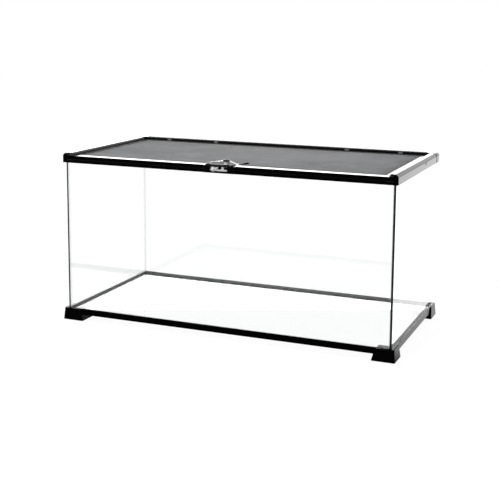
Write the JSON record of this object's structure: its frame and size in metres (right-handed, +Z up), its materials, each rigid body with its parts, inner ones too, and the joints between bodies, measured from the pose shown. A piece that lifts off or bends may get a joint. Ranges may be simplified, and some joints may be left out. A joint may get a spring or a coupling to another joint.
{
  "type": "reptile terrarium",
  "caption": "Rectangular glass terrarium with a flared-foot base frame and a sliding screen lid, locked by a lever latch at its front.",
  "frame": {"origin": "on the floor, below the middle of the tank", "axes": "+X to the right along the front, +Y from the front to the rear, +Z up; the lid slides out towards -Y"},
  "size_m": [0.615, 0.305, 0.3111],
  "materials": {
    "glass": "polished",
    "silicone": "satin",
    "black_gloss": "gloss",
    "side_rail": "gloss",
    "base_plate": "satin",
    "foot": "gloss",
    "pad": "matte",
    "screw": "satin",
    "buffer": "matte",
    "lid_frame": "gloss",
    "inner_plastic": "matte",
    "screen": "satin",
    "housing": "gloss",
    "bright_steel": "polished",
    "plated_strip": "polished",
    "knob": "gloss"
  },
  "bodies": {
    "tank": {"glass_floor": "glass", "glass_front": "glass", "glass_rear": "glass", "glass_left": "glass", "glass_right": "glass", "corner_seals": "silicone", "floor_seal": "silicone", "base_rail_front": "black_gloss", "base_rail_rear": "black_gloss", "base_rail_left": "black_gloss", "base_rail_right": "black_gloss", "foot_front_left": "foot", "foot_front_right": "foot", "foot_rear_left": "foot", "foot_rear_right": "foot", "foot_pads": "pad", "foot_screws": "screw", "top_rail_front": "black_gloss", "top_rail_rear": "black_gloss", "top_rail_left": "side_rail", "top_rail_right": "side_rail", "cap_front_left": "black_gloss", "cap_front_right": "black_gloss", "cap_rear_left": "black_gloss", "cap_rear_right": "black_gloss", "rail_screws": "screw", "lid_buffers": "buffer", "latch_keeper": "bright_steel"},
    "lid": {"lid_rail_front": "lid_frame", "lid_rail_rear": "lid_frame", "lid_rail_left": "lid_frame", "lid_rail_right": "lid_frame", "lid_corner_keys": "inner_plastic", "screen": "screen", "screen_beads": "inner_plastic", "latch_housing": "housing", "latch_plate": "base_plate", "latch_screws": "screw"},
    "lever": {"lever_post": "bright_steel", "lever_plate": "plated_strip", "lever_grip": "knob", "lever_knob": "knob"},
    "bolt": {"latch_bolt": "bright_steel"}
  },
  "joints": [
    {"name": "lid_slide", "type": "slide", "parent": "tank", "child": "lid", "axis": [0, -1, 0], "range_m": [0, 0.24]},
    {"name": "lever_turn", "type": "hinge", "parent": "lid", "child": "lever", "pos_m": [0.009, -0.141, 0.3], "axis": [0, 0, 1], "range_deg": [0, 40]},
    {"name": "bolt_slide", "type": "slide", "parent": "lid", "child": "bolt", "axis": [1, 0, 0], "range_m": [0, 0.0061]}
  ],
  "couplings": [
    {"joint": "bolt_slide", "follows": "lever_turn", "m_per_rad": 0.008671}
  ]
}
